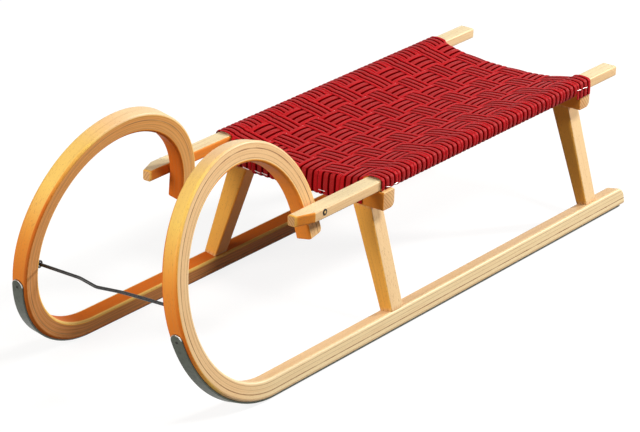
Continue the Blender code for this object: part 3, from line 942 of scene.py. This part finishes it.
def wave(place, pitch, count, over):
    """How far a strap's middle swings over or under the seat's middle, this far across its crossings."""
    size = sheet_of(SEAT)
    step = place / pitch
    index = int(min(count - 1, max(0, math.floor(step))))
    swing = abs(math.sin(math.pi * part_way(step, index, index + 1))) ** size.crest
    return size.wave * swing * (1.0 if over(index) else -1.0)


def strap_profile(half):
    """Points (across, half thickness, rib, margin) over a strap's upper side: four ribs, three grooves."""
    size = sheet_of(SEAT)
    outer = size.groove_place * half
    gap = size.groove_width / 2
    ribs = (
        (-half, -outer - gap, 1.0), (-outer + gap, -gap, 0.0),
        (gap, outer - gap, 0.0), (outer + gap, half, 1.0),
    )
    out = []
    for low, high, margin in ribs:
        for k in range(8):
            v = -1 + 2 * k / 7
            swell = 1 - abs(v) ** 3.0
            at_selvedge = margin and abs(v) > 0.5 and v * low > 0
            foot = size.selvedge if at_selvedge else size.groove
            if at_selvedge:
                rib = 1.0
            else:
                rib = RIB_FOOT if abs(v) == 1.0 else min(1.0, RIB_FLANK + swell)
            across = (low + high) / 2 + v * (high - low) / 2
            out.append((across, foot + (size.rib - foot) * swell, rib, margin))
        if high < half:
            out.append((high + gap, size.groove, 0.0, margin))
    return out


def strap_skin(name, half, line, shift):
    """A ribbed strap. line(across) gives its middle line: points, each with the direction out of its upper
    side."""
    under = -sheet_of(SEAT).rib * 0.55
    profile = strap_profile(half) + [(half * (1 - k / 3), under, RIB_UNDER, 0.0) for k in range(1, 6)]
    lanes = [(*place, line(place[0])) for place in profile]
    middle = line(0.0)
    runs = [shift]
    for (one, _), (two, _) in zip(middle, middle[1:]):
        runs.append(runs[-1] + (two - one).length)
    rings = []
    for k, run in enumerate(runs):
        ring = []
        for across, thick, rib, margin, spots in lanes:
            point, out = spots[k]
            ring.append((point + out * thick, (run, across, 0.0), (rib, margin, 0.0)))
        rings.append(ring)
    return skin(name, rings)


def stretch_counts(points):
    """How many parts, each about a strap step long, to cut each stretch between the points into."""
    return [max(1, math.ceil(math.dist(one, two) / STRAP_STEP)) for one, two in zip(points, points[1:])]


def smooth_line(points, counts):
    """Points on a smooth curve through the (u, v) points, each stretch cut into its count of parts."""
    out = []
    padded = [points[0]] + list(points) + [points[-1]]
    for a, b, c, d, count in zip(padded, padded[1:], padded[2:], padded[3:], counts):
        for k in range(count):
            t = k / count
            spot = []
            for p0, p1, p2, p3 in zip(a, b, c, d):
                spot.append(0.5 * (2 * p1 + (p2 - p0) * t + (2 * p0 - 5 * p1 + 4 * p2 - p3) * t**2
                                   + (3 * p1 - p0 - 3 * p2 + p3) * t**3))
            out.append(tuple(spot))
    out.append(tuple(points[-1]))
    return out


def with_outs(points):
    """Each (u, v) point with its unit direction out of the strap's upper side."""
    out = []
    for k, (u, v) in enumerate(points):
        u0, v0 = points[max(0, k - 1)]
        u1, v1 = points[min(len(points) - 1, k + 1)]
        reach = math.hypot(u1 - u0, v1 - v0)
        out.append((u, v, (v0 - v1) / reach, (u1 - u0) / reach))
    return out


def arc(u, v, radius, start, end, steps):
    """Points on an arc about (u, v), from the start to the end in degrees."""
    out = []
    for k in range(steps + 1):
        a = math.radians(start + (end - start) * k / steps)
        out.append((u + radius * math.cos(a), v + radius * math.sin(a)))
    return out


def row_line(plan, j):
    """A cross strap's middle line for each place across it: the weave, and a wrap round each rail."""
    size = sheet_of(SEAT)
    y = plan["first"] + (j + 0.5) * plan["row_pitch"]
    reach = plan["inner"] - size.side
    half_steps = ROW_STEPS // 2
    places = [reach * k / half_steps for k in range(-half_steps, half_steps + 1)]
    off = GAP + size.rib
    edge = RAIL_EDGE
    inner, outer, bottom, top = (plan[key] for key in ("inner", "outer", "rail_bottom", "rail_top"))

    wrap = arc(inner + edge, top - edge, edge + off, 120, 100, 1)
    wrap.append(((inner + outer) / 2, top + off + size.bulge))
    wrap += arc(outer - edge, top - edge, edge + off + RAIL_LIFT, 72, 18, 4)
    wrap.append((outer + off + size.bulge * 0.6, (bottom + top) / 2))
    if j == 0:
        wrap.append((outer + off, bottom + edge / 3))
    elif j == size.rows - 1:
        over_bar = plan["rear_end"] + off
        wrap += [(over_bar, bottom + edge / 3), (over_bar, plan["bar_top"] - size.hang)]
    else:
        wrap += arc(outer - edge, bottom + edge, edge + off, -15, -75, 3)
        wrap.append((outer - size.under, bottom - off))
    counts = stretch_counts([(reach, top)] + wrap)

    def height(x, across):
        swing = wave(x + reach, plan["column_pitch"], size.columns, lambda i: not column_is_over(i, j))
        return seat_z(plan, x, y + across) + swing

    def line(across):
        spots = [(x, height(x, across)) for x in places]
        tail = smooth_line([spots[-1]] + wrap, counts)[1:]
        head = [(-x, z) for x, z in smooth_line([(reach, spots[0][1])] + wrap, counts)[1:]]
        flat = with_outs(list(reversed(head)) + spots + tail)
        return [(Vector((x, y + across, z)), Vector((nx, 0.0, nz))) for x, z, nx, nz in flat]

    return line


def column_line(plan, i):
    """A long strap's middle line for each place across it: the weave, and a wrap round each crossbar."""
    size = sheet_of(SEAT)
    middle = (i - (size.columns - 1) / 2) * plan["column_pitch"]
    steps = FIELD_STEPS * size.rows
    first, last = plan["first"], plan["last"]
    places = [first + (last - first) * k / steps for k in range(steps + 1)]
    off = GAP + size.rib
    bottom = plan["bar_bottom"]

    def drop(x, front):
        """Over a bar's rounded upper edge, down its face and, clear of the legs, round under it."""
        sign = -1.0 if front else 1.0
        begin = first if front else last
        face = plan["front_face"] - off if front else plan["rear_back"] + off
        heel = BAR_EDGE if front else BAR_HEEL
        base = seat_z(plan, x, begin)
        out = []
        for degrees in (24, 44, 64, 80, 90):
            a = math.radians(degrees)
            down = OVER_EDGE * (1 - math.cos(a))
            out.append((begin + (face - begin) * math.sin(a), base + STRAP_LIFT - down))
        out.append((face + sign * size.bulge * 0.5, (bottom + base - OVER_EDGE) / 2))
        if i in (0, size.columns - 1):
            return out + [(face, bottom + BAR_EDGE)]
        out.append((face, bottom + heel))
        for degrees in (30, 60, 90):
            a = math.radians(degrees)
            out.append((face - sign * (heel + off) * (1 - math.cos(a)),
                        bottom + heel - (heel + off) * math.sin(a)))
        return out + [(face - sign * (off + size.under), bottom - off)]

    def drop_counts(front):
        begin = first if front else last
        return stretch_counts([(begin, seat_z(plan, middle, begin))] + drop(middle, front))

    front_counts, rear_counts = drop_counts(True), drop_counts(False)

    def height(x, y):
        swing = wave(y - first, plan["row_pitch"], size.rows, lambda j: column_is_over(i, j))
        return seat_z(plan, x, y) + swing

    def line(across):
        x = middle + across
        spots = [(y, height(x, y)) for y in places]
        head = smooth_line([spots[0]] + drop(x, True), front_counts)[1:]
        tail = smooth_line([spots[-1]] + drop(x, False), rear_counts)[1:]
        flat = with_outs(list(reversed(head)) + spots + tail)
        return [(Vector((x, y, z)), Vector((0.0, ny, nz))) for y, z, ny, nz in flat]

    return line


def round_wire(name, points, radius, sides=6):
    """A round wire through the points, with filled ends."""
    curve = bpy.data.curves.new(name, "CURVE")
    curve.dimensions = "3D"
    curve.bevel_depth = radius
    curve.bevel_resolution = sides
    curve.use_fill_caps = True
    spline = curve.splines.new("POLY")
    spline.points.add(len(points) - 1)
    for spot, p in zip(spline.points, points):
        spot.co = (*p, 1.0)
    return link(name, curve)


def rounded_corners(points, radius, steps=5):
    """The line with each inner corner drawn as a small arc."""
    out = [points[0]]
    for before, at, after in zip(points, points[1:], points[2:]):
        one, two = (before - at), (after - at)
        reach = min(radius, one.length / 2, two.length / 2)
        start, end = at + one.normalized() * reach, at + two.normalized() * reach
        for k in range(steps + 1):
            t = k / steps
            out.append(start.lerp(at, t).lerp(at.lerp(end, t), t))
    out.append(points[-1])
    return out


# The rod's line from its left end to its right one, which lies higher by the rise
ROD_RADIUS, ROD_RISE, ROD_DIP = 0.0024, 0.0050, 0.0054
DIP_START, DIP_LOW, DIP_END = -0.055, -0.026, 0.020
ROD_HOOK, ROD_BEND = 0.0085, 0.0048
EYE_TURN, EYE_STEPS = math.radians(345), 30


def bent_rod(name):
    """The rod between the horns: hooked up at both ends, with one shallow dip."""
    low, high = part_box("drawbar_rod")
    y = (low.y + high.y) / 2
    half = high.x - ROD_RADIUS
    left = low.z + ROD_RADIUS + ROD_DIP
    right = left + ROD_RISE
    spots = (
        (-half, left + ROD_HOOK), (-half, left), (DIP_START, left), (DIP_LOW, left - ROD_DIP),
        (DIP_END, left), (half, right), (half, right + ROD_HOOK),
    )
    return round_wire(name, rounded_corners([Vector((x, y, z)) for x, z in spots], ROD_BEND), ROD_RADIUS)


def screw_eye(name, node_name):
    """An open ring of wire on a short shank."""
    low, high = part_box(node_name)
    wire_radius = (high.x - low.x) / 2
    ring = (high.z - low.z) / 2 - wire_radius
    centre = Vector(((low.x + high.x) / 2, high.y - wire_radius - ring, (low.z + high.z) / 2))
    line = [Vector((centre.x, low.y, centre.z))]
    for k in range(EYE_STEPS + 1):
        a = math.pi - EYE_TURN * k / EYE_STEPS
        line.append(centre + Vector((0, ring * math.cos(a), ring * math.sin(a))))
    return round_wire(name, line, wire_radius)


# Profiles of the small turned pieces, as (along, radius) from inside the piece that they sit in
SCREW = ((-0.0008, 0.0021), (0.0002, 0.0021), (0.0004, 0.0015), (0.0004, 0.0008), (0.0001, 0.0005))
BOLT_RING = ((-0.0008, 0.0050), (0.0003, 0.0050), (0.0006, 0.0045), (0.0006, 0.0026))
BOLT_HEAD = ((-0.0008, 0.0021), (0.0006, 0.0021), (0.0009, 0.0014), (0.0009, 0.0004))

# Where a rail's bolt is, as (y, z), and how far below the shoe's top its screw is
RAIL_BOLT = (-0.2255, 0.2270)
SCREW_DOWN = 0.0022

# Both ends of each staple: (x, y, z, y, z) on the cross straps' sides, (x, z, x, z) on the front crossbar
SIDE_STAPLES = (
    (0.1529, -0.0827, 0.2220, -0.0727, 0.2192), (0.1529, -0.0626, 0.2202, -0.0539, 0.2200),
    (0.1531, 0.4254, 0.2264, 0.4371, 0.2248), (0.1531, 0.4414, 0.2253, 0.4547, 0.2240),
)
FRONT_STAPLES = (
    (-0.0959, 0.1925, -0.0846, 0.1914), (-0.0735, 0.1925, -0.0642, 0.1914),
    (-0.0605, 0.1925, -0.0512, 0.1914), (0.0430, 0.1937, 0.0548, 0.1937),
)
STAPLE_WIRE, STAPLE_BEND, STAPLE_LEG = 0.00055, 0.0008, 0.0022


def turned(name, centre, axis, profile, sides=20):
    """A small turned piece: a profile of (along, radius) spun about an axis."""
    turn = Vector((0, 0, 1)).rotation_difference(Vector(axis)).to_matrix()
    rings = []
    for along, radius in profile:
        ring = []
        for k in range(sides):
            a = 2 * math.pi * k / sides
            spot = Vector((radius * math.cos(a), radius * math.sin(a), along))
            ring.append((Vector(centre) + turn @ spot, (a, radius, along), (0.0, 0.0, 0.0)))
        rings.append(ring)
    return skin(name, rings)


def staple(name, one, two, inward):
    """A staple between two points, its legs bent into the strap."""
    leg = Vector(inward) * STAPLE_LEG
    line = rounded_corners([one + leg, one, two, two + leg], STAPLE_BEND, 3)
    return round_wire(name, line, STAPLE_WIRE, 3)


class SLED_OT_runners(bpy.types.Operator):
    """Sweep both laminated runners up into their horns"""

    bl_idname = "sled.runners"
    bl_label = "Runners"

    def execute(self, context):
        lacquer = beech("laminated_beech", True)
        for side, tag in SIDES:
            settle(laminated_runner(side, "laminated_runner_" + tag), lacquer, "beech", "runner_" + tag)
        return {"FINISHED"}


class SLED_OT_shoes(bpy.types.Operator):
    """Lay a steel shoe under each runner"""

    bl_idname = "sled.shoes"
    bl_label = "Shoes"

    def execute(self, context):
        look = sheet_of(STEEL)
        metal = steel("rolled_steel", look.shoe, 0.42, look.rim)
        for side, tag in SIDES:
            settle(shoe_strip(side, "shoe_strip_" + tag), metal, "steel", "shoe_" + tag)
        return {"FINISHED"}


class SLED_OT_woodwork(bpy.types.Operator):
    """Set the rails, crossbars and legs"""

    bl_idname = "sled.woodwork"
    bl_label = "Rails, crossbars and legs"

    def execute(self, context):
        lacquer = beech("solid_beech", False)
        for side, tag in SIDES:
            settle(seat_rail(side, "seat_rail_" + tag), lacquer, "beech", "rail_" + tag)
            for end in ENDS:
                leg = f"leg_{end}_{tag}"
                settle(leg_post(side, end, f"post_{end}_{tag}", leg), lacquer, "beech", leg)
        for end in ENDS:
            settle(crossbar(end, "cross_beam_" + end), lacquer, "beech", "crossbar_" + end)
        return {"FINISHED"}


class SLED_OT_seat(bpy.types.Operator):
    """Weave the seat from ribbed straps"""

    bl_idname = "sled.seat"
    bl_label = "Woven seat"

    def execute(self, context):
        size = sheet_of(SEAT)
        plan = seat_plan()
        cloth = webbing()
        half = (plan["column_pitch"] - size.column_space) / 2
        for i in range(size.columns):
            piece = strap_skin(f"webbing_long_{i + 1}", half, column_line(plan, i), i * 0.7)
            settle(piece, cloth, "webbing", f"strap_long_{i + 1}")
        half = (plan["row_pitch"] - size.row_space) / 2
        for j in range(size.rows):
            piece = strap_skin(f"webbing_cross_{j + 1:02d}", half, row_line(plan, j), 5 + j * 0.4)
            settle(piece, cloth, "webbing", f"strap_cross_{j + 1:02d}")
        return {"FINISHED"}


class SLED_OT_drawbar(bpy.types.Operator):
    """Hang the rod between the horns in its two screw eyes"""

    bl_idname = "sled.drawbar"
    bl_label = "Drawbar rod"

    def execute(self, context):
        metal = steel("drawn_steel", sheet_of(STEEL).rod, 0.30)
        settle(bent_rod("steel_rod"), metal, "steel", "drawbar_rod")
        for _, tag in SIDES:
            settle(screw_eye("screw_eye_" + tag, "rod_eye_" + tag), metal, "steel", "rod_eye_" + tag)
        return {"FINISHED"}


class SLED_OT_fasteners(bpy.types.Operator):
    """Drive the shoes' screws, the rails' bolts and the straps' staples"""

    bl_idname = "sled.fasteners"
    bl_label = "Screws, bolts and staples"

    def execute(self, context):
        look = sheet_of(STEEL)
        size = sheet_of(RUNNER)
        seat = sheet_of(SEAT)
        dark = steel("dark_screw", look.fastener, 0.45)
        brass = steel("brass_bolt", look.brass, 0.40)
        wire = steel("staple_wire", look.staple, 0.40)
        station = station_at(runner_line(0.05), size.shoe_top - SCREW_DOWN)
        out = runner_depth(station[3]) / 2 + GAP + size.shoe_height
        for side, tag in SIDES:
            spot, ahead = (off_line(side, station, a, -size.width / 2) for a in (out, out + 0.01))
            settle(turned("shoe_screw_" + tag, spot, (ahead - spot).normalized(), SCREW), dark, "steel")
            place = Vector((side * rail_sizes()[1], *RAIL_BOLT))
            settle(turned("bolt_ring_" + tag, place, (side, 0, 0), BOLT_RING), dark, "steel")
            settle(turned("bolt_head_" + tag, place, (side, 0, 0), BOLT_HEAD), brass, "steel")
            for k, (x, y0, z0, y1, z1) in enumerate(SIDE_STAPLES):
                one, two = Vector((side * x, y0, z0)), Vector((side * x, y1, z1))
                settle(staple(f"side_staple_{tag}_{k + 1}", one, two, (-side, 0, 0)), wire, "steel")
        y = seat_plan()["front_face"] - GAP - 2 * seat.rib - seat.bulge * 0.5
        for k, (x0, z0, x1, z1) in enumerate(FRONT_STAPLES):
            one, two = Vector((x0, y, z0)), Vector((x1, y, z1))
            settle(staple(f"front_staple_{k + 1}", one, two, (0, 1, 0)), wire, "steel")
        return {"FINISHED"}


# Each lamp's name, place, size and tint, and what they all face
LAMPS = (
    ("key", (2.40, 4.80, 2.85), 0.7, (1.0, 0.98, 0.95)),
    ("top", (2.10, 0.10, 2.85), 0.8, (1.0, 0.98, 0.95)),
    ("fill", (-0.75, -3.50, 1.60), 1.5, (1.0, 0.96, 0.90)),
)
LAMP_TARGET = Vector((0.0, 0.0, 0.15))

WHITE = (1.0, 1.0, 1.0, 1.0)
GRIT = (0.20, 0.19, 0.18)

# How the camera sees the floor: a dim grey that takes the shadow, and a white glow over it
FLOOR_DIM, FLOOR_GLOW = (0.20, 0.20, 0.20, 1.0), 0.86
FLOOR_HALF = 14.0
SENSOR = 36.0


def seen_white(tree):
    """1 for what the camera sees, by itself or by way of gloss or glass, and 0 for what lights the sled."""
    ray = node(tree, "LightPath").outputs
    seen = maths(tree, "MAXIMUM", ray["Is Camera Ray"], ray["Is Glossy Ray"])
    return maths(tree, "MAXIMUM", seen, ray["Is Transmission Ray"])


def output(tree, kind, plain, shown):
    """Shows one shader to the camera and lights the sled by the other."""
    mixed = node(tree, "MixShader", {0: seen_white(tree), 1: plain.outputs[0], 2: shown.outputs[0]})
    tree.links.new(mixed.outputs[0], node(tree, kind).inputs[0])


def pale_floor(look):
    """A pale floor that the camera sees as white, with the sled's soft shadow."""
    bm = bmesh.new()
    bmesh.ops.create_grid(bm, x_segments=2, y_segments=2, size=FLOOR_HALF)
    mesh = bpy.data.meshes.new("floor")
    bm.to_mesh(mesh)
    bm.free()
    made, tree, _ = new_material("pale_floor")
    tree.nodes.clear()
    grit = node(tree, "TexNoise", {"Scale": 30.0, "Detail": 3.0}).outputs["Fac"]
    tone = blend(tree, times(tree, grit, 0.1), look.floor_colour, GRIT)
    dim = node(tree, "BsdfDiffuse", {"Color": FLOOR_DIM})
    glow = node(tree, "Emission", {"Color": WHITE, "Strength": FLOOR_GLOW})
    shown = node(tree, "AddShader", {0: dim.outputs[0], 1: glow.outputs[0]})
    output(tree, "OutputMaterial", node(tree, "BsdfDiffuse", {"Color": tone}), shown)
    mesh.materials.append(made)
    link("floor", mesh)


def studio_world(look):
    """Light from all round, and a white background for the camera."""
    scene = bpy.context.scene
    scene.world = scene.world or bpy.data.worlds.new("studio")
    scene.world.use_nodes = True
    tree = scene.world.node_tree
    tree.nodes.clear()
    lit = node(tree, "Background", {"Color": (*look.sky_colour, 1.0), "Strength": look.sky})
    output(tree, "OutputWorld", lit, node(tree, "Background", {"Color": WHITE, "Strength": 1.0}))


def lamp(name, stand, size, tint, energy):
    """A large square lamp."""
    data = bpy.data.lights.new(name, "AREA")
    data.shape = "SQUARE"
    data.size = size
    data.energy = energy
    data.color = tint
    made = link(name, data)
    made.location = stand
    made.rotation_mode = "QUATERNION"
    made.rotation_quaternion = (LAMP_TARGET - Vector(stand)).to_track_quat("-Z", "Y")


def studio_camera(look):
    """The camera, where the photo was taken from."""
    level = math.cos(look.elevation)
    back = Vector((
        math.sin(look.azimuth) * level, -math.cos(look.azimuth) * level, math.sin(look.elevation),
    ))
    right = Vector((math.cos(look.azimuth), math.sin(look.azimuth), 0.0))
    up = back.cross(right)
    turn_c, turn_s = math.cos(look.roll), math.sin(look.roll)
    turn = Matrix((right * turn_c + up * turn_s, up * turn_c - right * turn_s, back)).transposed()
    data = bpy.data.cameras.new("camera")
    data.sensor_fit = "HORIZONTAL"
    data.sensor_width = SENSOR
    data.lens = look.focal * SENSOR / PHOTO_WIDTH
    data.shift_x = (PHOTO_WIDTH / 2 - look.centre[0]) / PHOTO_WIDTH
    data.shift_y = (look.centre[1] - PHOTO_HEIGHT / 2) / PHOTO_WIDTH
    data.clip_end = 60.0
    camera = link("camera", data)
    camera.matrix_world = Matrix.Translation(Vector(look.stand)) @ turn.to_4x4()
    bpy.context.scene.camera = camera


class SLED_OT_stage(bpy.types.Operator):
    """Set the floor, the lamps and the camera"""

    bl_idname = "sled.stage"
    bl_label = "Stage"

    def execute(self, context):
        look = sheet_of(STAGE)
        context.scene.view_settings.view_transform = "Standard"
        pale_floor(look)
        studio_world(look)
        for name, stand, size, tint in LAMPS:
            lamp(name, stand, size, tint, getattr(look, name))
        studio_camera(look)
        return {"FINISHED"}


STEPS = (
    SLED_OT_runners, SLED_OT_shoes, SLED_OT_woodwork, SLED_OT_seat, SLED_OT_drawbar, SLED_OT_fasteners,
    SLED_OT_stage,
)


class SLED_PT_panel(bpy.types.Panel):
    """The sled's pieces, each with its button"""

    bl_idname = "SLED_PT_panel"
    bl_label = "Horn sled"
    bl_space_type = "VIEW_3D"
    bl_region_type = "UI"
    bl_category = "Sled"

    def draw(self, context):
        for step in STEPS:
            self.layout.operator(step.bl_idname)


def register():
    for name, kind in SHEETS:
        bpy.utils.register_class(kind)
        setattr(bpy.types.Scene, name, PointerProperty(type=kind))
    for kind in (*STEPS, SLED_PT_panel):
        bpy.utils.register_class(kind)


def unregister():
    for kind in reversed((*STEPS, SLED_PT_panel)):
        bpy.utils.unregister_class(kind)
    for name, kind in reversed(SHEETS):
        delattr(bpy.types.Scene, name)
        bpy.utils.unregister_class(kind)


def main():
    register()
    bpy.ops.sled.runners()
    bpy.ops.sled.shoes()
    bpy.ops.sled.woodwork()
    bpy.ops.sled.seat()
    bpy.ops.sled.drawbar()
    bpy.ops.sled.fasteners()
    bpy.ops.sled.stage()


if __name__ == "__main__":
    main()
